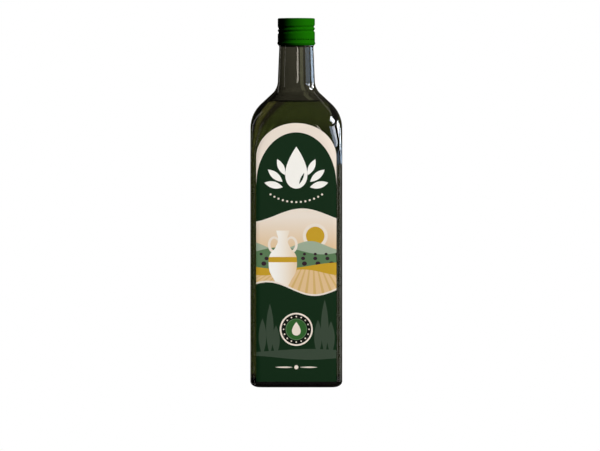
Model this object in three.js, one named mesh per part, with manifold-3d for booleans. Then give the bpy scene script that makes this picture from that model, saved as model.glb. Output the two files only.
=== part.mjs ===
// A square olive oil bottle with rounded corners, filled, labelled and shut by a rolled-on metal screw cap.
// Millimetres, +Z up. The origin is the middle of the base, and the label faces -Y.
import * as THREE from "three";
import { mergeVertices } from "three/addons/utils/BufferGeometryUtils.js";
import Module from "manifold-3d";

// Driving dimensions of the glass
const WIDTH = 68; // from face to face
const CORNER_RADIUS = 7.5; // upright corners of the body
const BODY_TOP = 192; // height where the faces start to lean in
const SHOULDER_RADIUS = 24.5; // convex curve from the body into the shoulder
const SHOULDER_SLOPE = THREE.MathUtils.degToRad(47); // from the upright
const NECK_FILLET = 13; // hollow curve from the shoulder into the neck
const NECK_ROOT_RADIUS = 13.75;
const NECK_TAPER = THREE.MathUtils.degToRad(2.4); // from the upright
const BEAD_LOW = 251.9; // ring of glass round the neck, half inside the cap
const BEAD_HIGH = 254.9;
const BEAD_OUT = 0.2;
const NECK_TOP = 256; // where the plain neck ends, just inside the cap
const FINISH_RADIUS = 12; // glass under the cap
const MOUTH = 271.5; // height of the open rim
const BORE_RADIUS = 9.3;
const WALL = 3.1;
const HEEL_HEIGHT = 4.5;
const HEEL_INSET = 6.7;
const FOOT_WIDTH = 5; // flat ring that the bottle stands on
const PUSH_UP = 2.5; // rise of the underside inside that ring
const BASE_THICKNESS = 5;
const INNER_HEEL_RADIUS = 6;

// The corners grow rounder from here up, until the section is a circle
const ROUNDING_START = 164.5;
const ROUNDING_END = 211;
const ROUNDING_POWER = 1.6;

// Driving dimensions of the oil, the label and the cap
const OIL_LEVEL = 209.5;
const LABEL_WIDTH = 59; // laid flat
const LABEL_BOTTOM = 4.3;
const LABEL_SPRING = 170; // where the arch of its top edge starts
const LABEL_APEX = 195.4;
const LABEL_THICKNESS = 0.25;
const CAP_RADIUS = 13.8;
const CAP_TOP = 273.5;
const CAP_BOTTOM = 253.2;
const CAP_EDGE_RADIUS = 0.9;
const CAP_INSIDE_RADIUS = 12.5;
const BAND_INSIDE_RADIUS = 13;
const BAND_INSIDE_HEIGHT = 5.3; // of that wider inside, from the cap's foot
const CAP_TOP_THICKNESS = 0.9;
const FOOT_RADIUS = 13.15; // foot of the tamper band, tucked in under its lip
const LIP_HEIGHT = 1.6; // widest part of the lip, from the cap's foot
const LIP_TOP = 2.6; // end of the lip, from the cap's foot
const LIP_OUT = 0.4;
const SLIT_MIDDLE = 257.7; // slits between the cap and its tamper band
const SLIT_HEIGHT = 0.45;
const BRIDGE_WIDTH = 1.2;
const BRIDGES = 8;
const THREAD_PITCH = 2.95;
const THREAD_LOW = 262.8; // height of the groove on the -X side
const THREAD_TURNS = 1.5; // at full depth
const THREAD_FADE = 0.18; // of a turn, at each end
const THREAD_DEPTH = 0.75;
const THREAD_HALF_WIDTH = 1.35;
const CLEARANCE = 0.3; // between pieces that would otherwise touch
const SLIT_OVERSHOOT = 1; // of the cutter past both sides of the metal
const WELD_DISTANCE = 1e-3; // below which corners become one
const LABEL_CLEARANCE = 0.15;

// Facets
const GLASS_SEGMENTS = 44;
const CAP_SEGMENTS = 48;
const ARC_DIVISIONS = 3;
const ROUNDING_ROWS = 6;
const THREAD_ROWS = 17;
const LABEL_COLUMNS = 28;
const LABEL_ROWS = 12;
const LABEL_LOW_ROWS = 1; // on the straight part of the face, below the rounding

const HALF_WIDTH = WIDTH / 2;
const FLAT_SHARE = (HALF_WIDTH - CORNER_RADIUS) / HALF_WIDTH;
const QUARTER = Math.PI / 2;
const FULL_TURN = Math.PI * 2;

const wasm = await Module();
wasm.setup();

// Share of the half-width that is flat at a height: 0 is a circle.
function flatShare(height) {
  const t = THREE.MathUtils.clamp(
    (height - ROUNDING_START) / (ROUNDING_END - ROUNDING_START), 0, 1);
  return FLAT_SHARE * (1 - t ** ROUNDING_POWER);
}

// Centres of the two shoulder curves, which every parallel wall shares
const shoulderCentre = new THREE.Vector2(HALF_WIDTH - SHOULDER_RADIUS, BODY_TOP);
const shoulderEnd = new THREE.Vector2(Math.cos(SHOULDER_SLOPE), Math.sin(SHOULDER_SLOPE))
  .multiplyScalar(SHOULDER_RADIUS).add(shoulderCentre);
const filletCentreX = NECK_ROOT_RADIUS + NECK_FILLET * Math.cos(NECK_TAPER);
const filletStartX = filletCentreX - NECK_FILLET * Math.cos(SHOULDER_SLOPE);
const filletStartZ = shoulderEnd.y + (shoulderEnd.x - filletStartX) / Math.tan(SHOULDER_SLOPE);
const filletCentre = new THREE.Vector2(
  filletCentreX, filletStartZ + NECK_FILLET * Math.sin(SHOULDER_SLOPE));
const neckRoot = filletCentre.y - NECK_FILLET * Math.sin(NECK_TAPER);

// Radius of the plain neck at a height
function neckRadius(height) {
  return NECK_ROOT_RADIUS - (height - neckRoot) * Math.tan(NECK_TAPER);
}

// Half-width of the outside at a height on the body or the shoulder's convex curve
function halfWidthAt(height) {
  const rise = Math.max(0, height - BODY_TOP);
  return shoulderCentre.x + Math.sqrt(SHOULDER_RADIUS ** 2 - rise ** 2);
}

// Runs a profile up the side, parallel to the outside and inset from it, to the neck's root.
function upTheSide(path, inset) {
  for (let i = 0; i < ROUNDING_ROWS; i++) {
    const height = THREE.MathUtils.lerp(ROUNDING_START, BODY_TOP, i / ROUNDING_ROWS);
    path.lineTo(HALF_WIDTH - inset, height);
  }
  path.absarc(shoulderCentre.x, shoulderCentre.y, SHOULDER_RADIUS - inset, 0, SHOULDER_SLOPE);
  path.absarc(filletCentre.x, filletCentre.y, NECK_FILLET + inset,
    Math.PI + SHOULDER_SLOPE, Math.PI + NECK_TAPER, true);
}

// Profile of the space inside the glass, from the middle of its floor to the neck's root
function insidePath(inset) {
  const floor = BASE_THICKNESS + inset - WALL;
  const side = HALF_WIDTH - inset;
  const path = new THREE.Path();
  path.moveTo(0, floor + PUSH_UP);
  path.quadraticCurveTo(side / 2, floor + PUSH_UP, side - INNER_HEEL_RADIUS, floor);
  path.absarc(side - INNER_HEEL_RADIUS, floor + INNER_HEEL_RADIUS, INNER_HEEL_RADIUS, -QUARTER, 0);
  upTheSide(path, inset);
  return path;
}

// Spins a profile about Z and squares it off, so that its radius becomes the half-width from face to face.
function squareLathe(points) {
  const halfStep = Math.PI / GLASS_SEGMENTS; // so that no column stands in the middle of a face
  const geometry = new THREE.LatheGeometry(points, GLASS_SEGMENTS, halfStep);
  geometry.rotateX(QUARTER);
  const position = geometry.getAttribute("position");
  for (let i = 0; i < position.count; i++) {
    const [x, y, z] = [position.getX(i), position.getY(i), position.getZ(i)];
    const flat = flatShare(z);
    const corner = flat * Math.hypot(x, y);
    position.setXY(i, Math.sign(x) * corner + x * (1 - flat), Math.sign(y) * corner + y * (1 - flat));
  }
  return geometry;
}

function glassGeometry() {
  const foot = HALF_WIDTH - HEEL_INSET;
  const outside = new THREE.Path();
  outside.moveTo(0, PUSH_UP);
  outside.quadraticCurveTo(foot / 2, PUSH_UP, foot - FOOT_WIDTH, 0);
  outside.lineTo(foot, 0);
  outside.absellipse(foot, HEEL_HEIGHT, HEEL_INSET, HEEL_HEIGHT, -QUARTER, 0);
  upTheSide(outside, 0);
  outside.lineTo(neckRadius(BEAD_LOW), BEAD_LOW);
  const beadMiddle = (BEAD_LOW + BEAD_HIGH) / 2;
  outside.quadraticCurveTo(
    neckRadius(beadMiddle) + 2 * BEAD_OUT, beadMiddle, neckRadius(BEAD_HIGH), BEAD_HIGH);
  outside.lineTo(neckRadius(NECK_TOP), NECK_TOP);
  outside.lineTo(FINISH_RADIUS, NECK_TOP);
  outside.lineTo(FINISH_RADIUS, MOUTH);
  const inside = insidePath(WALL);
  inside.lineTo(BORE_RADIUS, MOUTH);
  return squareLathe([
    ...outside.getPoints(ARC_DIVISIONS),
    ...inside.getPoints(ARC_DIVISIONS).reverse(),
  ]);
}

function oilGeometry() {
  const inside = insidePath(WALL + CLEARANCE).getPoints(ARC_DIVISIONS);
  const above = inside.findIndex((point) => point.y > OIL_LEVEL);
  const [low, high] = [inside[above - 1], inside[above]];
  const edge = low.clone().lerp(high, (OIL_LEVEL - low.y) / (high.y - low.y));
  return squareLathe([...inside.slice(0, above), edge, new THREE.Vector2(0, OIL_LEVEL)]);
}

// A point on the label: across is measured along the paper from the middle of the front face.
function onLabel(across, height, lift) {
  const half = halfWidthAt(height);
  const corner = half * flatShare(height);
  const turn = Math.max(0, Math.abs(across) - corner) / (half - corner);
  const radius = half - corner + lift;
  return new THREE.Vector3(
    Math.sign(across) * (Math.min(Math.abs(across), corner) + radius * Math.sin(turn)),
    -(corner + radius * Math.cos(turn)),
    height);
}

// A thin sheet with an arched top, wrapped over the front face and partly round its corners
function labelGeometry() {
  const geometry = new THREE.BoxGeometry(
    LABEL_WIDTH, LABEL_THICKNESS, 1, LABEL_COLUMNS, 1, LABEL_ROWS);
  const position = geometry.getAttribute("position");
  const point = new THREE.Vector3();
  for (let i = 0; i < position.count; i++) {
    point.fromBufferAttribute(position, i);
    const share = Math.abs(point.x) / (LABEL_WIDTH / 2);
    const top = LABEL_SPRING + (LABEL_APEX - LABEL_SPRING) * Math.sqrt(Math.max(0, 1 - share ** 2));
    const row = (point.z + 0.5) * LABEL_ROWS;
    const height = row <= LABEL_LOW_ROWS
      ? THREE.MathUtils.lerp(LABEL_BOTTOM, ROUNDING_START, row / LABEL_LOW_ROWS)
      : THREE.MathUtils.lerp(
        ROUNDING_START, top, (row - LABEL_LOW_ROWS) / (LABEL_ROWS - LABEL_LOW_ROWS));
    const lift = LABEL_CLEARANCE + LABEL_THICKNESS / 2 - point.y;
    position.setXYZ(i, ...onLabel(point.x, height, lift));
  }
  return geometry;
}

// Depth of the rolled thread, from 0 to 1: turn is counted from -X, rising towards +X across the front.
function threadDepth(turn, height) {
  const nearest = Math.round((height - THREAD_LOW) / THREAD_PITCH - turn);
  const along = turn + nearest;
  const away = Math.abs(height - THREAD_LOW - along * THREAD_PITCH) / THREAD_HALF_WIDTH;
  const past = Math.max(0, -along, along - THREAD_TURNS) / THREAD_FADE;
  if (away >= 1 || past >= 1) return 0;
  return Math.cos(away * QUARTER) ** 2 * Math.cos(past * QUARTER) ** 2;
}

function capShellGeometry() {
  const outside = new THREE.Path();
  outside.moveTo(BAND_INSIDE_RADIUS, CAP_BOTTOM);
  outside.lineTo(FOOT_RADIUS, CAP_BOTTOM);
  outside.quadraticCurveTo(
    CAP_RADIUS, CAP_BOTTOM + LIP_HEIGHT / 2, CAP_RADIUS + LIP_OUT, CAP_BOTTOM + LIP_HEIGHT);
  outside.lineTo(CAP_RADIUS, CAP_BOTTOM + LIP_TOP);
  const threadFoot = THREAD_LOW - THREAD_HALF_WIDTH;
  const threadHead = THREAD_LOW + THREAD_TURNS * THREAD_PITCH + THREAD_HALF_WIDTH;
  for (let i = 0; i <= THREAD_ROWS; i++) {
    outside.lineTo(CAP_RADIUS, THREE.MathUtils.lerp(threadFoot, threadHead, i / THREAD_ROWS));
  }
  outside.absarc(CAP_RADIUS - CAP_EDGE_RADIUS, CAP_TOP - CAP_EDGE_RADIUS, CAP_EDGE_RADIUS, 0, QUARTER);
  outside.lineTo(0, CAP_TOP);
  const inside = [
    new THREE.Vector2(0, CAP_TOP - CAP_TOP_THICKNESS),
    new THREE.Vector2(CAP_INSIDE_RADIUS, CAP_TOP - CAP_TOP_THICKNESS),
    new THREE.Vector2(CAP_INSIDE_RADIUS, CAP_BOTTOM + BAND_INSIDE_HEIGHT + CLEARANCE),
    new THREE.Vector2(BAND_INSIDE_RADIUS, CAP_BOTTOM + BAND_INSIDE_HEIGHT),
    new THREE.Vector2(BAND_INSIDE_RADIUS, CAP_BOTTOM),
  ];
  const points = [...outside.getPoints(ARC_DIVISIONS), ...inside];
  const geometry = new THREE.LatheGeometry(points, CAP_SEGMENTS);
  geometry.rotateX(QUARTER);
  const position = geometry.getAttribute("position");
  for (let i = 0; i < position.count; i++) {
    const [x, y, z] = [position.getX(i), position.getY(i), position.getZ(i)];
    const radius = Math.hypot(x, y);
    if (radius < CAP_RADIUS - CAP_EDGE_RADIUS) continue;
    const turn = THREE.MathUtils.euclideanModulo(Math.atan2(-y, -x), FULL_TURN) / FULL_TURN;
    const scale = 1 - (THREAD_DEPTH * threadDepth(turn, z)) / radius;
    position.setXY(i, x * scale, y * scale);
  }
  return geometry;
}

// One slit of the tamper band: an arc that stops short of the bridges beside it
function slitGeometry(index) {
  const step = FULL_TURN / BRIDGES;
  const bridge = BRIDGE_WIDTH / CAP_RADIUS;
  const [from, to] = [index * step + bridge / 2, (index + 1) * step - bridge / 2];
  const [inner, outer] = [CAP_INSIDE_RADIUS - SLIT_OVERSHOOT, CAP_RADIUS + SLIT_OVERSHOOT];
  const shape = new THREE.Shape();
  shape.absarc(0, 0, outer, from, to);
  shape.absarc(0, 0, inner, to, from, true);
  const geometry = new THREE.ExtrudeGeometry(
    shape, { depth: SLIT_HEIGHT, bevelEnabled: false, curveSegments: ARC_DIVISIONS });
  geometry.translate(0, 0, SLIT_MIDDLE - SLIT_HEIGHT / 2);
  return geometry;
}

function toSolid(geometry) {
  const plain = geometry.clone();
  plain.deleteAttribute("normal");
  plain.deleteAttribute("uv");
  const merged = mergeVertices(plain, WELD_DISTANCE);
  return new wasm.Manifold(new wasm.Mesh({
    numProp: 3,
    vertProperties: merged.getAttribute("position").array,
    triVerts: new Uint32Array(merged.index.array),
  }));
}

function toGeometry(solid) {
  const mesh = solid.getMesh();
  return new THREE.BufferGeometry()
    .setAttribute("position", new THREE.BufferAttribute(mesh.vertProperties, 3))
    .setIndex(new THREE.BufferAttribute(mesh.triVerts, 1));
}

// The cap and its tamper band are one metal shell, slit all round but for narrow bridges.
function capGeometry() {
  let shell = toSolid(capShellGeometry());
  for (let i = 0; i < BRIDGES; i++) shell = shell.subtract(toSolid(slitGeometry(i)));
  return toGeometry(shell);
}

function piece(name, geometry, color, roughness, metalness) {
  const mesh = new THREE.Mesh(geometry, new THREE.MeshStandardMaterial({ color, roughness, metalness }));
  mesh.name = name;
  return mesh;
}

const oliveOilBottle = new THREE.Group();
oliveOilBottle.add(
  piece("glass_bottle", glassGeometry(), 0x1f2718, 0.05, 0),
  piece("oil", oilGeometry(), 0x4f5212, 0.05, 0),
  piece("label", labelGeometry(), 0x152b1c, 0.45, 0),
  piece("screw_cap", capGeometry(), 0x1a6606, 0.35, 0.8),
);

export default oliveOilBottle;
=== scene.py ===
"""Models a filled square oil bottle, with its label, cap and a plain stage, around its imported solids."""

import math

import bmesh
import bpy
from bpy.props import FloatProperty, FloatVectorProperty, IntProperty, PointerProperty
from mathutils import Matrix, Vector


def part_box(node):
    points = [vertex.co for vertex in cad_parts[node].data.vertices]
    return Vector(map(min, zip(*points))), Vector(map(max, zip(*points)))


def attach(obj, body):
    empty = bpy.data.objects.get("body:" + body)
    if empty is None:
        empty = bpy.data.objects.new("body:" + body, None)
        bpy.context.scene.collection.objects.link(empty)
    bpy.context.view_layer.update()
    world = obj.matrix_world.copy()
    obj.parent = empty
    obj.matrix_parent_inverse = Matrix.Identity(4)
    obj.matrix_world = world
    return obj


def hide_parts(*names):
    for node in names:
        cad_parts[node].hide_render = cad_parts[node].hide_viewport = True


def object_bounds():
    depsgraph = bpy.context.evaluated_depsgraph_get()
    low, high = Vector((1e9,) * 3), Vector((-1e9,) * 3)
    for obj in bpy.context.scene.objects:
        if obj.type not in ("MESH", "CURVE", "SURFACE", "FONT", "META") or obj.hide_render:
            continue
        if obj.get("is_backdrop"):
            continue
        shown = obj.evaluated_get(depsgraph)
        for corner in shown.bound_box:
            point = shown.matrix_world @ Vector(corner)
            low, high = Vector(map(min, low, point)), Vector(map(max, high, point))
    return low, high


bl_info = {
    "name": "Square oil bottle",
    "version": (1, 0, 0),
    "blender": (4, 5, 0),
    "location": "View3D > Sidebar > Oil Bottle",
    "description": "Models a filled square glass bottle with a paper label and a rolled-on metal cap",
    "category": "Add Mesh",
}

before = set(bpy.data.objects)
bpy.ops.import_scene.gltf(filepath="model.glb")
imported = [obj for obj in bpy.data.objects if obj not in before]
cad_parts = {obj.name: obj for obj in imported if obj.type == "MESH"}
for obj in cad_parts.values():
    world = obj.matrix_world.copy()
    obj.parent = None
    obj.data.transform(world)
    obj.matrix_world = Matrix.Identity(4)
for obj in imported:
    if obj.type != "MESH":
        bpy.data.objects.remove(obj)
cad_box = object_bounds()
glass_low, glass_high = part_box("glass_bottle")
_, oil_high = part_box("oil")
label_low, label_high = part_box("label")
cap_low, cap_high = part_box("screw_cap")

MM = 0.001
PHOTO_WIDTH, PHOTO_HEIGHT = 600, 451
# Radius of the small ring that a turned piece starts and ends on, before a flat face closes it.
POLE = 1 * MM
# Two places closer than this, in metres, are one place.
TOUCH = 1e-6
# Edges that bend more than this stay hard, in degrees.
GLASS_CREASE, LABEL_CREASE, CAP_CREASE = 40, 40, 35


def linear(hex_colour):
    """Turns an sRGB hex colour into linear red, green, blue and alpha."""
    channels = [int(hex_colour[i:i + 2], 16) / 255 for i in (1, 3, 5)]
    return [c / 12.92 if c <= 0.04045 else ((c + 0.055) / 1.055) ** 2.4 for c in channels] + [1.0]


WHITE = linear("#ffffff")


def length(name, description, millimetres):
    """A length property whose default is given in millimetres."""
    return FloatProperty(name=name, description=description, default=millimetres * MM, unit="LENGTH")


def colour(name, description, hex_colour):
    """A colour property whose default is given as sRGB hex."""
    return FloatVectorProperty(
        name=name, description=description, subtype="COLOR", size=4, min=0, max=1,
        default=linear(hex_colour))


class GlassSettings(bpy.types.PropertyGroup):
    """Sizes and colour of the glass."""

    width: length("Width", "From face to face", (glass_high.x - glass_low.x) / MM)
    mouth: length("Mouth", "Height of the open rim", glass_high.z / MM)
    sides: IntProperty(name="Sides", description="Faces round the glass and the oil", default=136)
    corner_radius: length("Corner radius", "Upright corners of the body", 7.5)
    body_top: length("Body top", "Height where the faces start to lean in", 192)
    shoulder_radius: length("Shoulder radius", "Convex curve from the body into the shoulder", 24.5)
    shoulder_slope: FloatProperty(
        name="Shoulder slope", description="From the upright", subtype="ANGLE", default=math.radians(47))
    neck_fillet: length("Neck fillet", "Hollow curve from the shoulder into the neck", 13)
    neck_root_radius: length("Neck root radius", "Radius at the foot of the neck", 13.75)
    neck_taper: FloatProperty(
        name="Neck taper", description="From the upright", subtype="ANGLE", default=math.radians(2.4))
    bead_low: length("Bead low", "Foot of the ring round the neck, half inside the cap", 251.9)
    bead_high: length("Bead high", "Top of that ring", 254.9)
    bead_out: length("Bead out", "How far that ring stands out", 0.2)
    neck_top: length("Neck top", "Where the plain neck ends, just inside the cap", 256)
    finish_radius: length("Finish radius", "Glass under the cap", 12)
    bore_radius: length("Bore radius", "Inside of the mouth", 9.3)
    wall: length("Wall", "Thickness of the side", 3.1)
    heel_height: length("Heel height", "Rounding above the foot", 4.5)
    heel_inset: length("Heel inset", "Rounding inside the face", 6.7)
    foot_width: length("Foot width", "Flat ring that the bottle stands on", 5)
    push_up: length("Push-up", "Rise of the underside inside the foot", 2.5)
    base_thickness: length("Base thickness", "Glass over the foot", 5)
    inner_heel: length("Inner heel", "Rounding at the edge of the inner floor", 6)
    rounding_start: length("Rounding start", "Height where the corners start to grow rounder", 164.5)
    rounding_end: length("Rounding end", "Height where the section is a circle", 211)
    rounding_power: FloatProperty(name="Rounding power", description="How late it rounds", default=1.6)
    tint: colour("Tint", "Colour that thick glass lets through", "#807c4e")
    density: FloatProperty(name="Density", description="Absorption per metre", default=420)


class OilSettings(bpy.types.PropertyGroup):
    """Level and colour of the oil."""

    level: length("Level", "Height of the surface", oil_high.z / MM)
    overlap: length("Overlap", "How far the oil reaches into the glass", 0.15)
    meniscus: length("Meniscus", "Radius of the hollow where the oil climbs the glass", 1.0)
    tint: colour("Tint", "Colour that thick oil lets through", "#c6e336")
    density: FloatProperty(name="Density", description="Absorption per metre", default=24)


class LabelSettings(bpy.types.PropertyGroup):
    """Sizes and inks of the label."""

    half_width: length("Half-width", "Seen from the front", label_high.x / MM)
    bottom: length("Bottom", "Lower edge", label_low.z / MM)
    apex: length("Apex", "Top of the arch", label_high.z / MM)
    spring: length("Spring", "Height where the arch starts", 170)
    lift: length("Lift", "Glue between the glass and the paper", 0.1)
    thickness: length("Thickness", "Paper", 0.2)
    green: colour("Ground", "Dark green ground", "#0e2a15")
    cream: colour("Cream", "Cream fields", "#efe4d8")
    tan: colour("Tan", "Warm fields", "#e3c294")
    gold: colour("Gold", "Golden field and sun", "#c8a02c")
    leaf: colour("Leaf", "Mid green leaves", "#5c7d58")
    haze: colour("Haze", "Pale green hills", "#9fb09a")
    shade: colour("Shade", "Pale trees on the green ground", "#3b4a3c")
    plum: colour("Plum", "Dark shrubs", "#33222c")
    white: colour("White", "Ornament", "#fbfaf6")
    black: colour("Black", "Ring of the medallion", "#050a06")
    medal: colour("Medal", "Middle of the medallion", "#2f5f2c")


class CapSettings(bpy.types.PropertyGroup):
    """Sizes and colour of the cap."""

    top: length("Top", "Height of the top", cap_high.z / MM)
    bottom: length("Bottom", "Foot of the band", cap_low.z / MM)
    sides: IntProperty(name="Sides", description="Faces round the cap", default=120)
    radius: length("Radius", "Outside of the skirt", 13.8)
    edge_radius: length("Edge radius", "Rounding of the top edge", 0.9)
    top_ring: length("Top ring", "Flat ring at the edge of the top, from the skirt", 3)
    inside_radius: length("Inside radius", "Inside of the skirt", 12.5)
    band_inside_radius: length("Band inside radius", "Inside of the tamper band", 13)
    band_height: length("Band height", "Tamper band, to the middle of its slits", 4.5)
    foot_radius: length("Foot radius", "Outside of the foot, tucked in under the lip", 13.15)
    lip_height: length("Lip height", "Widest part of the lip, from the foot", 1.6)
    lip_top: length("Lip top", "End of the lip, from the foot", 2.6)
    lip_out: length("Lip out", "How far the lip stands out", 0.4)
    slit_height: length("Slit height", "Slits between the cap and its band", 0.6)
    slit_depth: length("Slit depth", "Depth that shows", 1.1)
    bridges: IntProperty(name="Bridges", description="Metal left between the slits", default=8)
    bridge_width: length("Bridge width", "Metal left at each bridge", 1.2)
    thread_low: length("Thread low", "Height of the groove on the -X side", 262.8)
    thread_pitch: length("Thread pitch", "Rise in one turn", 2.95)
    thread_start: FloatProperty(
        name="Thread start", description="Where the groove begins, turns from the -X side", default=-0.2)
    thread_end: FloatProperty(
        name="Thread end", description="Where the groove ends, turns from the -X side", default=1.55)
    thread_depth: length("Thread depth", "How deep the groove is rolled", 0.75)
    thread_half_width: length("Thread half-width", "Reach of the groove", 1.4)
    thread_row: length("Thread row", "Height of the rows of faces that the groove is rolled into", 0.2)
    lacquer: colour("Lacquer", "Green lacquer", "#135d03")


class StageSettings(bpy.types.PropertyGroup):
    """Camera and light."""

    scale: FloatProperty(name="Scale", description="Millimetres for each pixel", default=0.742)
    axis_x: FloatProperty(name="Axis", description="Bottle's axis in the picture, pixels", default=296.3)
    base_y: FloatProperty(name="Base", description="Bottle's foot in the picture, pixels", default=386.84)
    distance: length("Distance", "From the camera to the axis", 8000)
    sensor: FloatProperty(name="Sensor", description="Width of the sensor, millimetres", default=36)
    floor_radius: length("Floor radius", "Size of the floor", 450)
    floor_drop: length("Floor drop", "How far the floor is below the foot", 0.2)
    cap_key: FloatProperty(
        name="Cap key", description="Radiance of the cap's light, from the right", default=33.2)
    label_key: FloatProperty(
        name="Label key", description="Radiance of the label's light, from the front", default=12.9)


# Modelling


def arc(centre, radii, start, end, steps):
    """Points on part of an ellipse, from one angle to another."""
    angles = [start + (end - start) * i / steps for i in range(steps + 1)]
    return [(centre[0] + radii[0] * math.cos(a), centre[1] + radii[1] * math.sin(a)) for a in angles]


def bow(start, control, end, steps):
    """Points on a curve that leaves start and reaches end towards one control point."""
    shares = [i / steps for i in range(steps + 1)]
    return [
        tuple((1 - t) ** 2 * a + 2 * t * (1 - t) * b + t ** 2 * c for a, b, c in zip(start, control, end))
        for t in shares]


def start_ring(name, segments, rotation):
    """A new piece in edit mode: one ring of vertices of radius 1 m round the origin, all selected."""
    bpy.ops.object.select_all(action="DESELECT")
    bpy.ops.mesh.primitive_circle_add(vertices=segments, radius=1, rotation=rotation)
    bpy.ops.object.transform_apply(location=False, rotation=True, scale=False)
    piece = bpy.context.active_object
    piece.name = piece.data.name = name
    bpy.ops.object.mode_set(mode="EDIT")
    bpy.ops.mesh.select_mode(type="VERT")
    bpy.ops.mesh.select_all(action="SELECT")
    return piece


def select_vertices(piece, wanted):
    """Selects the vertices, in edit mode, whose place passes the test, with the edges and faces between."""
    bpy.ops.mesh.select_all(action="DESELECT")
    mesh = bmesh.from_edit_mesh(piece.data)
    for vertex in mesh.verts:
        vertex.select_set(wanted(vertex.co))
    mesh.select_flush(True)
    bmesh.update_edit_mesh(piece.data)


def spread_corners(piece, shift):
    """Moves the four quarters of the selected ring apart, each along its own diagonal."""
    mesh = bmesh.from_edit_mesh(piece.data)
    ring = [vertex.index for vertex in mesh.verts if vertex.select]
    for side_x, side_y in ((1, 1), (-1, 1), (-1, -1), (1, -1)):
        bpy.ops.mesh.select_all(action="DESELECT")
        mesh = bmesh.from_edit_mesh(piece.data)
        mesh.verts.ensure_lookup_table()
        for index in ring:
            vertex = mesh.verts[index]
            vertex.select_set(vertex.co.x * side_x > 0 and vertex.co.y * side_y > 0)
        mesh.select_flush(True)
        bpy.ops.transform.translate(value=(shift * side_x, shift * side_y, 0))
    mesh = bmesh.from_edit_mesh(piece.data)
    mesh.verts.ensure_lookup_table()
    for index in ring:
        mesh.verts[index].select_set(True)
    mesh.select_flush(True)
    bmesh.update_edit_mesh(piece.data)


def turn(name, segments, rows, share=lambda height: 0):
    """A new piece: a ring extruded through rows of (half-width, height), of which a share is flat."""
    piece = start_ring(name, segments, rotation=(0, 0, math.pi / segments))
    radius, corner, height = 1, 0, 0
    for i, (half_width, row_height) in enumerate(rows):
        if i:
            bpy.ops.mesh.extrude_region_move()
        bpy.ops.transform.translate(value=(0, 0, row_height - height))
        flat = share(row_height)
        growth = half_width * (1 - flat) / radius
        bpy.ops.transform.resize(value=(growth, growth, 1), center_override=(0, 0, row_height))
        shift = half_width * flat - corner * growth
        if abs(shift) > TOUCH:
            spread_corners(piece, shift)
        radius, corner, height = half_width * (1 - flat), half_width * flat, row_height
    bpy.ops.mesh.edge_face_add()
    first_width, first_height = rows[0]
    reach = math.sqrt(2) * first_width + TOUCH
    select_vertices(piece, lambda co: abs(co.z - first_height) < TOUCH and co.xy.length < reach)
    bpy.ops.mesh.edge_face_add()
    return piece


def close_up(piece, crease):
    """Ends the modelling of a closed piece: faces outwards, smooth but for its hard edges."""
    bpy.ops.object.mode_set(mode="EDIT")
    bpy.ops.mesh.select_all(action="SELECT")
    bpy.ops.mesh.normals_make_consistent(inside=False)
    bpy.ops.object.mode_set(mode="OBJECT")
    bpy.ops.object.shade_smooth_by_angle(angle=math.radians(crease))
    apply_modifier(piece, "WEIGHTED_NORMAL", keep_sharp=True)


def apply_modifier(piece, kind, **settings):
    """Adds a modifier to the active piece, sets it and applies it."""
    bpy.ops.object.modifier_add(type=kind)
    modifier = piece.modifiers[-1]
    for key, value in settings.items():
        setattr(modifier, key, value)
    bpy.ops.object.modifier_apply(modifier=modifier.name)


def hand_over(piece, material, node):
    """Dresses a finished piece and puts it in the place of its solid."""
    piece.data.materials.clear()
    piece.data.materials.append(material)
    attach(piece, "root")
    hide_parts(node)


# The bottle's outline


def flat_share(glass):
    """Returns the rule for how much of the half-width is flat at a height: 0 is a circle."""
    half = glass.width / 2
    most = (half - glass.corner_radius) / half

    def share(height):
        t = (height - glass.rounding_start) / (glass.rounding_end - glass.rounding_start)
        return most * (1 - min(max(t, 0), 1) ** glass.rounding_power)

    return share


def side_rows(glass, inset, start):
    """Rows up the side, parallel to the outside, from a height on the body to the neck's root."""
    half = glass.width / 2
    rows = []
    straight = 8
    for i in range(straight):
        rows.append((half - inset, start + (glass.rounding_start - start) * i / straight))
    rounding = 24
    for i in range(rounding):
        rise = (glass.body_top - glass.rounding_start) * i / rounding
        rows.append((half - inset, glass.rounding_start + rise))
    slope = glass.shoulder_slope
    shoulder = (half - glass.shoulder_radius, glass.body_top)
    rows += arc(shoulder, [glass.shoulder_radius - inset] * 2, 0, slope, steps=24)
    end_x = shoulder[0] + glass.shoulder_radius * math.cos(slope)
    end_z = shoulder[1] + glass.shoulder_radius * math.sin(slope)
    fillet_x = glass.neck_root_radius + glass.neck_fillet * math.cos(glass.neck_taper)
    start_x = fillet_x - glass.neck_fillet * math.cos(slope)
    fillet_z = end_z + (end_x - start_x) / math.tan(slope) + glass.neck_fillet * math.sin(slope)
    radius = glass.neck_fillet + inset
    rows += arc(
        (fillet_x, fillet_z), [radius] * 2, math.pi + slope, math.pi + glass.neck_taper, steps=16)
    return rows


def inside_rows(glass, inset):
    """Rows of the space inside the glass, from the middle of its floor to the neck's root."""
    half = glass.width / 2
    floor = glass.base_thickness + inset - glass.wall
    edge = half - inset - glass.inner_heel
    middle = (POLE, floor + glass.push_up)
    rows = bow(middle, (half / 2, floor + glass.push_up), (edge, floor), steps=10)
    rows += arc((edge, floor + glass.inner_heel), [glass.inner_heel] * 2, -math.pi / 2, 0, steps=12)[1:]
    return rows + side_rows(glass, inset, floor + glass.inner_heel)[1:]


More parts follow.
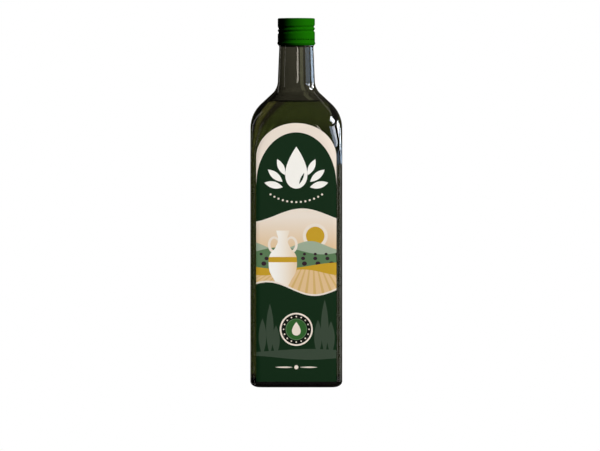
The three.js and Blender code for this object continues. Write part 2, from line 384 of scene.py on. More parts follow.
class OILBOTTLE_OT_glass(bpy.types.Operator):
    """Models the glass: foot, heel, body, shoulder, neck, mouth and the space inside"""

    bl_idname = "oil_bottle.glass"
    bl_label = "Glass"

    def execute(self, context):
        glass = context.scene.oil_bottle_glass
        foot = glass.width / 2 - glass.heel_inset
        centre = (POLE, glass.push_up)
        heel = (glass.heel_inset, glass.heel_height)
        outside = bow(centre, (foot / 2, glass.push_up), (foot - glass.foot_width, 0), steps=10)
        outside += arc((foot, glass.heel_height), heel, -math.pi / 2, 0, steps=12)
        outside += side_rows(glass, 0, glass.heel_height)[1:]
        root_x, root_z = outside[-1]
        bead_middle = (glass.bead_low + glass.bead_high) / 2
        heights = (glass.bead_low, bead_middle, glass.bead_high, glass.neck_top)
        low, middle, high, top = [(root_x - (z - root_z) * math.tan(glass.neck_taper), z) for z in heights]
        outside += bow(low, (middle[0] + 2 * glass.bead_out, bead_middle), high, steps=12)
        outside += [top, (glass.finish_radius, glass.neck_top)]
        outside += [(glass.finish_radius, glass.mouth), (glass.bore_radius, glass.mouth)]
        rows = outside + inside_rows(glass, glass.wall)[::-1]
        piece = turn("bottle_glass", glass.sides, rows, flat_share(glass))
        close_up(piece, GLASS_CREASE)
        hand_over(piece, bottle_glass(glass), "glass_bottle")
        return {"FINISHED"}


class OILBOTTLE_OT_oil(bpy.types.Operator):
    """Models the oil, which reaches just into the glass and climbs it at the surface"""

    bl_idname = "oil_bottle.oil"
    bl_label = "Oil"

    def execute(self, context):
        glass = context.scene.oil_bottle_glass
        oil = context.scene.oil_bottle_oil
        wall = inside_rows(glass, glass.wall)
        above = next(i for i, row in enumerate(wall) if row[1] > oil.level)
        (low_x, low_z), (high_x, high_z) = wall[above - 1], wall[above]
        edge = low_x + (high_x - low_x) * (oil.level - low_z) / (high_z - low_z)
        lean = math.atan2(low_x - high_x, high_z - low_z)
        hollow_x = edge - oil.meniscus * (1 + math.sin(lean)) / math.cos(lean)
        hollow_z = oil.level + oil.meniscus
        reach = oil.meniscus + oil.overlap
        contact = (hollow_x + reach * math.cos(lean), hollow_z + reach * math.sin(lean))
        # Rows nearer to the contact line than this are left out, so that none of its faces is a sliver.
        clearance = 0.1 * MM
        rows = [
            row for row in inside_rows(glass, glass.wall - oil.overlap) if row[1] < contact[1] - clearance]
        rows.append(contact)
        rows += arc((hollow_x, hollow_z), [oil.meniscus] * 2, lean, -math.pi / 2, steps=16)
        rows.append((POLE, oil.level))
        piece = turn("olive_oil", glass.sides, rows, flat_share(glass))
        close_up(piece, GLASS_CREASE)
        hand_over(piece, olive_oil(oil), "oil")
        return {"FINISHED"}


class OILBOTTLE_OT_label(bpy.types.Operator):
    """Models the label: an arched sheet of paper wrapped onto the front of the glass"""

    bl_idname = "oil_bottle.label"
    bl_label = "Label"

    def execute(self, context):
        label = context.scene.oil_bottle_label
        glass = bpy.data.objects["bottle_glass"]
        piece = self.cut_sheet(label)
        apply_modifier(
            piece, "SHRINKWRAP", target=glass, wrap_method="PROJECT", use_project_y=True,
            use_positive_direction=True, use_negative_direction=False, offset=label.lift)
        apply_modifier(piece, "SOLIDIFY", thickness=label.thickness, offset=1)
        bpy.ops.object.shade_smooth_by_angle(angle=math.radians(LABEL_CREASE))
        hand_over(piece, printed_paper(label), "label")
        return {"FINISHED"}

    def cut_sheet(self, label):
        """A flat sheet in front of the glass: half an ellipse drawn down to a straight foot."""
        in_front = glass_low.y - 10 * MM
        piece = start_ring("paper_label", segments=128, rotation=(math.pi / 2, 0, 0))
        rise = label.apex - label.spring
        bpy.ops.transform.resize(value=(label.half_width, 1, rise), center_override=(0, 0, 0))
        bpy.ops.transform.translate(value=(0, in_front, label.spring))
        select_vertices(piece, lambda co: co.z < label.spring - TOUCH)
        bpy.ops.mesh.delete(type="VERT")
        bpy.ops.mesh.select_all(action="SELECT")
        bpy.ops.mesh.extrude_region_move()
        bpy.ops.transform.resize(value=(1, 1, 0), center_override=(0, 0, label.bottom))
        mesh = bmesh.from_edit_mesh(piece.data)
        bpy.ops.mesh.select_all(action="DESELECT")
        for edge in mesh.edges:
            low, high = edge.verts
            edge.select_set(abs(low.co.x - high.co.x) < TOUCH)
        bmesh.update_edit_mesh(piece.data)
        bpy.ops.mesh.subdivide(number_cuts=120)
        bpy.ops.mesh.select_all(action="SELECT")
        bpy.ops.mesh.normals_make_consistent(inside=False)
        if bmesh.from_edit_mesh(piece.data).faces[:][0].normal.y > 0:
            bpy.ops.mesh.flip_normals()
        bpy.ops.object.mode_set(mode="OBJECT")
        return piece


class OILBOTTLE_OT_cap(bpy.types.Operator):
    """Models the cap: skirt, rolled thread, slit tamper band and its rolled lip"""

    bl_idname = "oil_bottle.cap"
    bl_label = "Cap"

    def execute(self, context):
        cap = context.scene.oil_bottle_cap
        slit = cap.bottom + cap.band_height
        piece = turn("lacquered_cap", cap.sides, self.inside(cap, slit) + self.outside(cap, slit))
        self.roll_thread(piece, cap)
        self.cut_slits(piece, cap, slit)
        close_up(piece, CAP_CREASE)
        hand_over(piece, lacquered_aluminium(cap), "screw_cap")
        return {"FINISHED"}

    def inside(self, cap, slit):
        """Rows of the inside, from the middle of the top down to the foot, wider in the band."""
        ceiling = cap.top - (cap.radius - cap.inside_radius)
        return [
            (POLE, ceiling), (cap.inside_radius, ceiling), (cap.inside_radius, slit - cap.slit_height),
            (cap.band_inside_radius, slit - 2 * cap.slit_height), (cap.band_inside_radius, cap.bottom)]

    def outside(self, cap, slit):
        """Rows of the outside: foot, lip, slits, rows for the thread, rounded edge and flat top."""
        lip = (cap.radius + cap.lip_out, cap.bottom + cap.lip_height)
        lip_end = (cap.radius, cap.bottom + cap.lip_top)
        under_lip = (cap.radius, cap.bottom + cap.lip_height / 2)
        over_lip = (lip[0], (lip[1] + lip_end[1]) / 2)
        rows = bow((cap.foot_radius, cap.bottom), under_lip, lip, steps=8)
        rows += bow(lip, over_lip, lip_end, steps=6)[1:]
        rows += [(cap.radius, slit - cap.slit_height / 2), (cap.radius, slit + cap.slit_height / 2)]
        foot = cap.thread_low + cap.thread_pitch * cap.thread_start - cap.thread_half_width
        head = cap.thread_low + cap.thread_pitch * cap.thread_end + cap.thread_half_width
        steps = round((head - foot) / cap.thread_row)
        rows += [(cap.radius, foot + (head - foot) * i / steps) for i in range(steps + 1)]
        edge = (cap.radius - cap.edge_radius, cap.top - cap.edge_radius)
        rows += arc(edge, [cap.edge_radius] * 2, 0, math.pi / 2, steps=8)
        return rows + [(cap.radius - cap.top_ring, cap.top), (POLE, cap.top)]

    def roll_thread(self, piece, cap):
        """Presses the helical groove in, soft-edged, from the vertices along its middle."""
        nearest = 0.55 * cap.thread_row

        def on_groove(co):
            if co.xy.length < cap.radius - TOUCH:
                return False
            turns = (math.atan2(-co.y, -co.x) / math.tau) % 1
            count = round((co.z - cap.thread_low) / cap.thread_pitch - turns)
            along = turns + count
            away = abs(co.z - cap.thread_low - along * cap.thread_pitch)
            return cap.thread_start <= along <= cap.thread_end and away < nearest

        select_vertices(piece, on_groove)
        press = 1 - cap.thread_depth / cap.radius
        bpy.ops.transform.resize(
            value=(press, press, 1), center_override=(0, 0, 0), use_proportional_edit=True,
            proportional_edit_falloff="SMOOTH", proportional_size=cap.thread_half_width)

    def cut_slits(self, piece, cap, slit):
        """Sinks the slits into the band, all round but for the bridges."""
        bridge = cap.bridge_width / cap.radius
        step = math.tau / cap.bridges
        skin = (cap.radius + cap.inside_radius) / 2
        bpy.ops.mesh.select_mode(type="FACE")
        bpy.ops.mesh.select_all(action="DESELECT")
        mesh = bmesh.from_edit_mesh(piece.data)
        for face in mesh.faces:
            middle = face.calc_center_median()
            around = math.atan2(middle.y, middle.x) % step
            on_row = abs(middle.z - slit) < cap.slit_height / 4 and middle.xy.length > skin
            face.select_set(on_row and bridge / 2 < around < step - bridge / 2)
        bmesh.update_edit_mesh(piece.data)
        bpy.ops.mesh.extrude_region_move()
        sink = 1 - cap.slit_depth / cap.radius
        bpy.ops.transform.resize(value=(sink, sink, 1), center_override=(0, 0, 0))
        bpy.ops.mesh.select_mode(type="VERT")


# Materials


def add(tree, kind, inputs=(), **settings):
    """Adds a node, sets it, and fills or links its inputs, by name or in the order of those in use."""
    made = tree.nodes.new("ShaderNode" + kind)
    for key, value in settings.items():
        setattr(made, key, value)
    if not isinstance(inputs, dict):
        places = [i for i, socket in enumerate(made.inputs) if socket.enabled]
        inputs = dict(zip(places, inputs))
    for key, value in inputs.items():
        if isinstance(value, bpy.types.Node):
            value = next(socket for socket in value.outputs if socket.enabled)
        if isinstance(value, bpy.types.NodeSocket):
            tree.links.new(value, made.inputs[key])
        else:
            made.inputs[key].default_value = value
    return made


def new_material(name):
    """An empty node material and its tree."""
    material = bpy.data.materials.new(name)
    material.use_nodes = True
    material.node_tree.nodes.clear()
    return material, material.node_tree


def bottle_glass(glass):
    """Soda-lime bottle glass, blown in a mould: glossy with a faint waviness, dark where thick."""
    material, tree = new_material("moulded bottle glass")
    place = add(tree, "TexCoord").outputs["Object"]
    ripple = 14 * MM
    waves = add(tree, "TexNoise", {"Vector": place, "Scale": 1 / ripple, "Detail": 1.0, "Roughness": 0.4})
    bump = add(tree, "Bump", {"Height": waves, "Strength": 0.05, "Distance": 0.4 * MM})
    surface = add(
        tree, "BsdfPrincipled",
        {"Base Color": WHITE, "Roughness": 0.0, "IOR": 1.52, "Transmission Weight": 1.0, "Normal": bump})
    inside = add(tree, "VolumeAbsorption", {"Color": glass.tint, "Density": glass.density})
    add(tree, "OutputMaterial", {"Surface": surface, "Volume": inside})
    return material


def olive_oil(oil):
    """Cold-pressed oil: clear, a little denser than water to the eye, green-gold where deep."""
    material, tree = new_material("clear olive oil")
    surface = add(
        tree, "BsdfPrincipled",
        {"Base Color": WHITE, "Roughness": 0.0, "IOR": 1.47, "Transmission Weight": 1.0})
    inside = add(tree, "VolumeAbsorption", {"Color": oil.tint, "Density": oil.density})
    add(tree, "OutputMaterial", {"Surface": surface, "Volume": inside})
    return material


def lacquered_aluminium(cap):
    """Aluminium sheet, lacquered and then rolled on: satin green with faint turning lines."""
    material, tree = new_material("green lacquered rolled aluminium")
    place = add(tree, "TexCoord").outputs["Object"]
    line = 0.6 * MM
    # Each line is drawn this many times longer round the cap than it is high.
    stretch = 12
    stretched = add(tree, "Mapping", {"Vector": place, "Scale": (1, 1, stretch)}, vector_type="POINT")
    lines = add(tree, "TexNoise", {"Vector": stretched, "Scale": 1 / (stretch * line), "Detail": 3.0})
    bump = add(tree, "Bump", {"Height": lines, "Strength": 0.15, "Distance": 0.05 * MM})
    surface = add(
        tree, "BsdfPrincipled",
        {"Base Color": cap.lacquer, "Metallic": 0.35, "Roughness": 0.4, "Specular IOR Level": 0.02,
         "Specular Tint": cap.lacquer, "Normal": bump})
    add(tree, "OutputMaterial", {"Surface": surface})
    return material


class Print:
    """Lays inks over each other on the label. Places and sizes are millimetres across and up its face."""

    def __init__(self, tree, ground):
        self.tree = tree
        metres = self.add("SeparateXYZ", self.add("TexCoord").outputs["Object"]).outputs
        self.x = self.add("Math", metres["X"], MM, operation="DIVIDE")
        self.z = self.add("Math", metres["Z"], MM, operation="DIVIDE")
        self.place = self.add("CombineXYZ", self.x, self.z)
        self.both_sides = self.add("CombineXYZ", self.add("Math", self.x, operation="ABSOLUTE"), self.z)
        self.ground = ground

    def add(self, kind, *values, **settings):
        """Adds a node to the print, with its inputs in order."""
        return add(self.tree, kind, values, **settings)

    def ink(self, shape, tone):
        """Prints a tone over what is there, inside a shape."""
        self.ground = self.add("Mix", shape, self.ground, tone, data_type="RGBA")

    def local(self, centre, scale, turn=0.0, place=None):
        """Across and up, measured from a centre, turned and scaled."""
        mapped = self.add(
            "Mapping", place or self.place, (*centre, 0), (0, 0, math.radians(turn)), (*scale, 1),
            vector_type="TEXTURE")
        parts = self.add("SeparateXYZ", mapped).outputs
        return parts["X"], parts["Y"]

    def squares(self, across, up):
        """The square of the distance from the centre."""
        up_squared = self.add("Math", up, up, operation="MULTIPLY")
        return self.add("Math", across, across, up_squared, operation="MULTIPLY_ADD")

    def both(self, first, second):
        """The part that two shapes share."""
        return self.add("Math", first, second, operation="MULTIPLY")

    def without(self, shape, hole):
        """A shape with another cut out of it."""
        return self.both(shape, self.add("Math", 1.0, hole, operation="SUBTRACT"))

    def disc(self, centre, radii, turn=0.0, place=None):
        """The inside of an ellipse."""
        reach = self.squares(*self.local(centre, radii, turn, place))
        return self.add("Math", reach, 1.0, operation="LESS_THAN")

    def leaf(self, root, size, turn, place=None):
        """A pointed leaf of a length and width that grows from its root."""
        half = size[0] / 2
        angle = math.radians(turn)
        centre = (root[0] + half * math.cos(angle), root[1] + half * math.sin(angle))
        across, up = self.local(centre, (half, size[1] / 2), turn, place)
        height = self.add("Math", up, operation="ABSOLUTE")
        reach = self.add("Math", across, across, height, operation="MULTIPLY_ADD")
        return self.add("Math", reach, 1.0, operation="LESS_THAN")

    def drop(self, foot, half_width, height):
        """A drop, round below and pointed above."""
        across, up = self.local(foot, (half_width, height))
        widest = 1 / (math.sqrt(1 / 3) * (2 / 3))
        root = self.add("Math", up, operation="SQRT")
        rest = self.add("Math", up, -widest, widest, operation="MULTIPLY_ADD")
        edge = self.add("Math", root, rest, operation="MULTIPLY")
        side = self.add("Math", across, operation="ABSOLUTE")
        return self.add("Math", side, edge, operation="LESS_THAN")

    def below(self, height, swell, span, phase):
        """Everything under a rolling line that swells up and down once in each span."""
        angle = self.add("Math", self.x, math.tau / span, math.radians(phase), operation="MULTIPLY_ADD")
        wave = self.add("Math", angle, operation="SINE")
        line = self.add("Math", wave, swell, height, operation="MULTIPLY_ADD")
        return self.add("Math", self.z, line, operation="LESS_THAN")

    def vase(self, foot, half_width, height, outline):
        """A turned vessel whose outline gives its half-width at shares of its height."""
        across, up = self.local(foot, (half_width, height))
        profile = add(self.tree, "FloatCurve", {"Value": up})
        points = profile.mapping.curves[0].points
        while len(points) < len(outline):
            points.new(0.5, 0.5)
        for point, spot in zip(points, outline):
            point.location = spot
        profile.mapping.update()
        side = self.add("Math", across, operation="ABSOLUTE")
        inside = self.add("Math", side, profile, operation="LESS_THAN")
        within = self.add("Math", up, 0.5, 0.5, operation="COMPARE")
        return self.both(inside, within), across, up

    def row(self, start, spacing, radii):
        """A row of ellipses right across the label."""
        across, up = self.local(start, radii)
        pitch = spacing / radii[0]
        across = self.add("Math", across, pitch / 2, -pitch / 2, operation="WRAP")
        return self.add("Math", self.squares(across, up), 1.0, operation="LESS_THAN")

    def beads(self, centre, radius, bead, step, spread):
        """Round beads along an arc about a centre, a step apart, as far to both sides as the spread."""
        across, up = self.local(centre, (1, -1))
        angle = self.add("Math", across, up, operation="ARCTAN2")
        reach = self.add("Math", self.squares(across, up), operation="SQRT")
        half_step = math.radians(step) / 2
        wrapped = self.add("Math", angle, half_step, -half_step, operation="WRAP")
        along = self.add("Math", wrapped, radius / bead, operation="MULTIPLY")
        out = self.add("Math", reach, 1 / bead, -radius / bead, operation="MULTIPLY_ADD")
        inside = self.add("Math", self.squares(along, out), 1.0, operation="LESS_THAN")
        turned = self.add("Math", angle, operation="ABSOLUTE")
        return self.both(inside, self.add("Math", turned, math.radians(spread), operation="LESS_THAN"))


def print_arch(press, label):
    """A cream crescent under the arched edge, and a white drop between leaves on the green."""
    field_foot = 150
    field = press.disc((0, field_foot), (29.6, 38.5))
    above = press.add("Math", press.z, field_foot, operation="GREATER_THAN")
    press.ink(press.without(above, field), label.cream)
    press.ink(press.drop((0, 147), half_width=8.2, height=31), label.white)
    press.ink(press.leaf((2.2, 150.4), (9, 1.7), turn=66), label.green)
    leaves = (((10.0, 148.0), (14, 5.0), 14), ((10.2, 152.0), (14, 5.0), 40), ((8.4, 157.0), (13, 4.6), 64))
    for root, size, lean in leaves:
        press.ink(press.leaf(root, size, lean, place=press.both_sides), label.white)
    press.ink(press.beads((0, 172), radius=35, bead=0.75, step=5.5, spread=34), label.cream)


def print_picture(press, label):
    """A broad band across the label: a jug in rolling fields under a low sun."""
    ground = press.ground
    sky_top, sky_depth = 126.0, 26.0
    depth = press.add("Math", sky_top, press.z, operation="SUBTRACT")
    glow = press.add("Math", depth, sky_depth, operation="DIVIDE")
    glow = press.add("Math", glow, 1.0, operation="MINIMUM")
    press.ground = press.add("Mix", glow, label.cream, label.tan, data_type="RGBA")
    for radius, tone in ((9.2, label.cream), (6.8, label.gold)):
        press.ink(press.disc((14, 112), (radius, radius)), tone)
    press.ink(press.below(height=105, swell=3.2, span=46, phase=10), label.haze)
    press.ink(press.below(height=101, swell=2.6, span=64, phase=160), label.leaf)
    for start, spacing, size in (((-26, 98.6), 8, 1.0), ((-22, 95.4), 9, 1.3), ((-24, 91.6), 10, 1.6)):
        press.ink(press.row(start, spacing, (size * 1.15, size)), label.plum)
    press.ink(press.below(height=90, swell=2.4, span=90, phase=-40), label.gold)
    field = press.below(height=85, swell=2.2, span=58, phase=60)
    press.ink(field, label.tan)
    press.ink(press.both(print_furrows(press), field), label.gold)
    print_jug(press, label)
    picture = press.ground
    press.ground = ground
    for rim, tone in ((1.3, label.cream), (0, picture)):
        top = press.below(height=126 + rim, swell=5, span=78, phase=70)
        press.ink(press.without(top, press.below(height=74 - rim, swell=5, span=70, phase=200)), tone)


def print_furrows(press):
    """Faint furrows that fan out from a point above the field."""
    fan_x, fan_z = 12.0, 104.0
    closeness, least, strength = 34.0, 0.55, 0.5
    across = press.add("Math", press.x, fan_x, operation="SUBTRACT")
    down = press.add("Math", fan_z, press.z, operation="SUBTRACT")
    fan = press.add("Math", across, down, operation="DIVIDE")
    angle = press.add("Math", fan, closeness, operation="MULTIPLY")
    wave = press.add("Math", angle, operation="SINE")
    furrows = press.add("Math", wave, least, operation="GREATER_THAN")
    return press.add("Math", furrows, strength, operation="MULTIPLY")


def print_jug(press, label):
    """A white jug with two handles and a golden band, shaded on one side."""
    foot = (-10, 73)
    for side in (-1, 1):
        outer = press.disc((foot[0] + side * 6.4, foot[1] + 32.5), (4.6, 6.2))
        inner = press.disc((foot[0] + side * 6.2, foot[1] + 32.7), (2.9, 4.3))
        press.ink(press.without(outer, inner), label.cream)
    outline = (
        (0, 0.42), (0.05, 0.4), (0.1, 0.5), (0.48, 1.0), (0.72, 0.5), (0.86, 0.33), (0.95, 0.42), (1, 0.46))
    body, across, up = press.vase(foot, half_width=10.5, height=43, outline=outline)
    growth, middle, power = 0.5, 0.35, 1.4
    shade = press.add("Math", across, growth, middle, operation="MULTIPLY_ADD")
    shade = press.add("Math", shade, 0.0, operation="MAXIMUM")
    shade = press.add("Math", shade, power, operation="POWER")
    press.ink(body, press.add("Mix", shade, label.white, label.tan, data_type="RGBA"))
    band_height, band_half = 0.5, 0.045
    band = press.add("Math", up, band_height, band_half, operation="COMPARE")
    press.ink(press.both(body, band), label.gold)


def print_foot(press, label):
    """Pale trees on low hills, a round medallion with a drop, and a small rule below it."""
    press.ink(press.below(height=27, swell=1.5, span=120, phase=60), label.shade)
    tree_root, tree_width = 24, 5.6
    for across, tall in ((-25, 27), (-19.5, 38), (-15, 22), (16, 26), (21, 41), (25.6, 25)):
        press.ink(press.leaf((across, tree_root), (tall, tree_width), turn=90), label.shade)
    press.ink(press.below(height=22, swell=1.5, span=90, phase=230), label.green)
    middle = (0, 43)
    for radius, tone in ((12.2, label.cream), (11.0, label.black), (7.9, label.leaf), (7.4, label.medal)):
        press.ink(press.disc(middle, (radius, radius)), tone)
    press.ink(press.beads(middle, radius=9.4, bead=0.55, step=22.5, spread=181), label.cream)
    press.ink(press.drop((middle[0], middle[1] - 4.6), half_width=3.2, height=10), label.cream)
    rule = 15
    press.ink(press.leaf((2.6, rule), (13, 1.1), turn=0, place=press.both_sides), label.cream)
    press.ink(press.disc((0, rule), (1.5, 1.5)), label.cream)


def printed_paper(label):
    """Coated paper, offset printed and varnished: flat fields of ink under a satin skin."""
    material, tree = new_material("offset printed coated paper")
    press = Print(tree, label.green)
    print_arch(press, label)
    print_picture(press, label)
    print_foot(press, label)
    # The edges and the back, which don't face the front, stay unprinted.
    normal = add(tree, "NewGeometry").outputs["True Normal"]
    facing = press.add("SeparateXYZ", normal).outputs["Y"]
    edge_on = -0.3
    press.ink(press.add("Math", facing, edge_on, operation="GREATER_THAN"), label.white)
    # Paper's grain is finer than this, in millimetres. It is drawn coarser, so that it can show.
    grain_width = 0.625
    grain = add(tree, "TexNoise", {"Vector": press.place, "Scale": 1 / grain_width, "Detail": 4.0})
    bump = add(tree, "Bump", {"Height": grain, "Strength": 0.1, "Distance": 0.05 * MM})
    surface = add(
        tree, "BsdfPrincipled",
        {"Base Color": press.ground, "Roughness": 0.42, "Specular IOR Level": 0.15, "Normal": bump})
    add(tree, "OutputMaterial", {"Surface": surface})
    return material


# Stage


def white_floor():
    """Painted board: matt white and evenly lit, so that it melts into the surround."""
    material, tree = new_material("matt white board")
    paint = add(tree, "Emission", {"Color": WHITE, "Strength": 1.0})
    add(tree, "OutputMaterial", {"Surface": paint})
    return material


def show_only(thing, rays):
    """Lets one kind of ray see an object."""
    for kind in ("camera", "diffuse", "glossy", "transmission", "volume_scatter"):
        setattr(thing, f"visible_{kind}", kind == rays)


def light_only(light, *pieces):
    """Lets a light fall on some of the pieces alone."""
    lit = bpy.data.collections.new(f"lit by {light.name}")
    for name in pieces:
        lit.objects.link(bpy.data.objects[name])
    light.light_linking.receiver_collection = lit


LAMP = "#fdfbf8"
PANEL_DISTANCE = 2.5
PANEL_AIM = 160 * MM
# The panels that each kind of ray sees: name, azimuths, elevations, radiance and tone.
# They are in degrees. Azimuth 0 is in front, and 90 on the right.
PANELS = {
    "diffuse": (
        ("fill", (168, 192), (25, 60), 14.0, LAMP),
    ),
    "glossy": (
        ("sill_near", (57, 74), (-14, 1.5), 0.9, "#f0f2ea"),
        ("sill_far", (92, 118), (-14, 1.5), 1.2, "#f0f2ea"),
        ("window_near_low", (62, 98), (1.5, 13.0), 1.5, "#a8ccf8"),
        ("window_near_left", (62, 80), (16, 28), 5.0, "#c8d8f4"),
        ("window_near_right", (80, 96), (16, 28), 11.0, "#eef4ff"),
        ("window_near_high", (95, 119), (33, 43), 16.0, "#f6f9ff"),
        ("window_far_low", (110, 138), (1.5, 7.5), 5.5, "#c4dcf8"),
        ("window_far_middle", (111, 136), (9.0, 12.2), 12.0, "#eef4ff"),
        ("window_far_high", (111, 132), (14.5, 25), 16.0, "#f6f9ff"),
        ("table", (-60, 60), (-80, -15), 0.09, "#fffdf8"),
        ("window_rail", (124, 150), (38.5, 42.5), 0.45, "#fffbe8"),
        ("gap_front", (3, 14), (2, 14), 6.0, "#fff6e8"),
        ("gap_left", (-84, -76), (-60, 40), 0.7, "#f4f0e8"),
        ("gap_far_left", (-140, -128), (-60, 40), 0.5, "#f4f0e8"),
    ),
    "transmission": (
        ("behind", (120, 172), (-8, 30), 0.28, "#fffdf4"),
        ("gap_behind", (174.4, 177.4), (-5, 25), 0.5, "#e8f0d8"),
    ),
}


def add_panel(name, azimuths, elevations, radiance, tone, rays):
    """A panel of light over a range of directions, for one kind of ray."""
    around = math.radians(sum(azimuths) / 2)
    up = math.radians(sum(elevations) / 2)
    flat = PANEL_DISTANCE * math.cos(up)
    place = (flat * math.sin(around), -flat * math.cos(around), PANEL_AIM + PANEL_DISTANCE * math.sin(up))
    bpy.ops.object.light_add(type="AREA", location=place, rotation=(math.pi / 2 - up, 0, around))
    light = bpy.context.active_object
    light.name = name
    width = 2 * flat * math.tan(math.radians(azimuths[1] - azimuths[0]) / 2)
    height = 2 * PANEL_DISTANCE * math.tan(math.radians(elevations[1] - elevations[0]) / 2)
    light.data.shape = "RECTANGLE"
    light.data.size, light.data.size_y = width, height
    light.data.energy = radiance * math.pi * width * height
    light.data.color = linear(tone)[:3]
    show_only(light, rays)
    return light


# Tones of the strips behind the bottle, and where each begins and ends, from the left (0) to the right (1).
PLAIN, DARK, SHADE, WARM = "#b3b1ab", "#161616", "#8b76a2", "#fee3eb"
STRIPS = (
    (0.17, PLAIN), (0.2, DARK), (0.3, DARK), (0.33, PLAIN), (0.58, PLAIN), (0.6, SHADE),
    (0.6425, SHADE), (0.6625, WARM), (0.7225, WARM), (0.7425, DARK), (0.84, DARK), (0.87, PLAIN))
# How far the strips lean with height, and the place and width of the span from 0 to 1.
STRIPS_LEAN, STRIPS_MIDDLE, STRIPS_SCALE = -0.15, 0.4475, 0.5


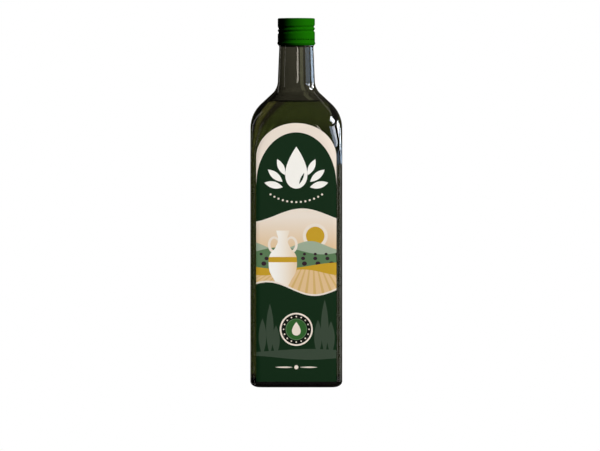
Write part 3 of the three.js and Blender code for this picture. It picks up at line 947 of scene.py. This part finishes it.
class OILBOTTLE_OT_stage(bpy.types.Operator):
    """Sets up the floor, the light and a camera at the picture's viewing angle"""

    bl_idname = "oil_bottle.stage"
    bl_label = "Stage"

    def execute(self, context):
        stage = context.scene.oil_bottle_stage
        self.lay_floor(stage)
        self.set_world(context.scene)
        cap_key = add_panel("cap_key", (44, 72), (8, 36), stage.cap_key, LAMP, "diffuse")
        light_only(cap_key, "lacquered_cap")
        label_key = add_panel("label_key", (2, 34), (8, 36), stage.label_key, LAMP, "diffuse")
        light_only(label_key, "paper_label")
        for rays, panels in PANELS.items():
            for panel in panels:
                light = add_panel(*panel, rays)
                if rays == "glossy":
                    light_only(light, "bottle_glass", "olive_oil", "paper_label")
        self.set_camera(context.scene, stage)
        return {"FINISHED"}

    def lay_floor(self, stage):
        """A round white floor just under the foot, for the eye alone."""
        bpy.ops.object.select_all(action="DESELECT")
        bpy.ops.mesh.primitive_circle_add(
            vertices=96, radius=stage.floor_radius, fill_type="NGON", location=(0, 0, -stage.floor_drop))
        floor = bpy.context.active_object
        floor.name = floor.data.name = "floor"
        floor.data.materials.append(white_floor())
        show_only(floor, "camera")
        floor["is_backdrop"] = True

    def set_world(self, scene):
        """A white surround for the eye, and a dim room, darker on the left, for the glass and the metal."""
        world = bpy.data.worlds.new("room")
        scene.world = world
        world.use_nodes = True
        tree = world.node_tree
        tree.nodes.clear()
        way = add(tree, "SeparateXYZ", [add(tree, "TexCoord").outputs["Generated"]]).outputs
        right = add(tree, "MapRange", {"Value": way["X"], "From Min": -0.6, "From Max": 1.0})
        sides = add(tree, "Mix", (right, linear("#0a0a09"), linear("#48463f")), data_type="RGBA")
        room = add(tree, "Background", {"Color": sides, "Strength": 1.0})
        white = add(tree, "Background", {"Color": WHITE, "Strength": 1.0})
        rays = add(tree, "LightPath").outputs
        dim = self.show_through_glass(tree, way)
        through = add(tree, "MixShader", (rays["Is Transmission Ray"], room, dim))
        surround = add(tree, "MixShader", (rays["Is Camera Ray"], through, white))
        add(tree, "OutputWorld", {"Surface": surround})
        scene.view_settings.view_transform = "Standard"

    def show_through_glass(self, tree, way):
        """What shows through the glass: a room, brighter low down, with strips at the back."""
        lit = add(
            tree, "MapRange",
            {"Value": way["Z"], "From Min": 0.5, "From Max": 0.15, "To Min": 0.02, "To Max": 0.25})
        deep = add(
            tree, "MapRange",
            {"Value": way["Z"], "From Min": -0.22, "From Max": 0.0, "To Min": 4.107, "To Max": 2.22})
        strength = add(tree, "Math", (lit, deep), operation="MULTIPLY")
        lean = add(tree, "Math", (way["Z"], STRIPS_LEAN, STRIPS_MIDDLE), operation="MULTIPLY_ADD")
        across = add(tree, "Math", (way["X"], STRIPS_SCALE, lean), operation="MULTIPLY_ADD")
        strips = add(tree, "ValToRGB", [across])
        stops = strips.color_ramp.elements
        for place, tone in STRIPS:
            stops.new(place).color = linear(tone)
        for end in (stops[0], stops[-1]):
            end.color = linear(PLAIN)
        low = add(tree, "MapRange", {"Value": way["Z"], "From Min": -0.03, "From Max": -0.09})
        back = add(tree, "MapRange", {"Value": way["Y"], "From Min": 0.0, "From Max": 0.1})
        there = add(tree, "Math", (low, back), operation="MULTIPLY")
        behind = add(tree, "Mix", (there, linear(PLAIN), strips), data_type="RGBA")
        return add(tree, "Background", {"Color": behind, "Strength": strength})

    def set_camera(self, scene, stage):
        """A long lens, level with the point of the bottle that the middle of the picture shows."""
        pixel = stage.scale * MM
        height = (stage.base_y - PHOTO_HEIGHT / 2) * pixel
        bpy.ops.object.camera_add(location=(0, -stage.distance, height), rotation=(math.pi / 2, 0, 0))
        camera = bpy.context.active_object
        camera.name = "camera"
        camera.data.sensor_width = stage.sensor
        camera.data.lens = stage.sensor * stage.distance / (PHOTO_WIDTH * pixel)
        camera.data.shift_x = (PHOTO_WIDTH / 2 - stage.axis_x) / PHOTO_WIDTH
        camera.data.clip_end = 50
        scene.camera = camera


PIECES = (OILBOTTLE_OT_glass, OILBOTTLE_OT_oil, OILBOTTLE_OT_label, OILBOTTLE_OT_cap, OILBOTTLE_OT_stage)


class OILBOTTLE_PT_sidebar(bpy.types.Panel):
    """Lists the pieces of the bottle"""

    bl_idname = "OILBOTTLE_PT_sidebar"
    bl_label = "Oil Bottle"
    bl_space_type = "VIEW_3D"
    bl_region_type = "UI"
    bl_category = "Oil Bottle"

    def draw(self, context):
        for operator in PIECES:
            self.layout.operator(operator.bl_idname)


SETTINGS = {
    "oil_bottle_glass": GlassSettings,
    "oil_bottle_oil": OilSettings,
    "oil_bottle_label": LabelSettings,
    "oil_bottle_cap": CapSettings,
    "oil_bottle_stage": StageSettings,
}


def register():
    for name, group in SETTINGS.items():
        bpy.utils.register_class(group)
        setattr(bpy.types.Scene, name, PointerProperty(type=group))
    for operator in PIECES:
        bpy.utils.register_class(operator)
    bpy.utils.register_class(OILBOTTLE_PT_sidebar)


def unregister():
    bpy.utils.unregister_class(OILBOTTLE_PT_sidebar)
    for operator in reversed(PIECES):
        bpy.utils.unregister_class(operator)
    for name, group in SETTINGS.items():
        delattr(bpy.types.Scene, name)
        bpy.utils.unregister_class(group)


def main():
    register()
    bpy.ops.oil_bottle.glass()
    bpy.ops.oil_bottle.oil()
    bpy.ops.oil_bottle.label()
    bpy.ops.oil_bottle.cap()
    bpy.ops.oil_bottle.stage()
    boxes = {"cad": cad_box, "visual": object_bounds()}
    sizes = {name: [list(corner) for corner in box] for name, box in boxes.items()}


if __name__ == "__main__":
    main()
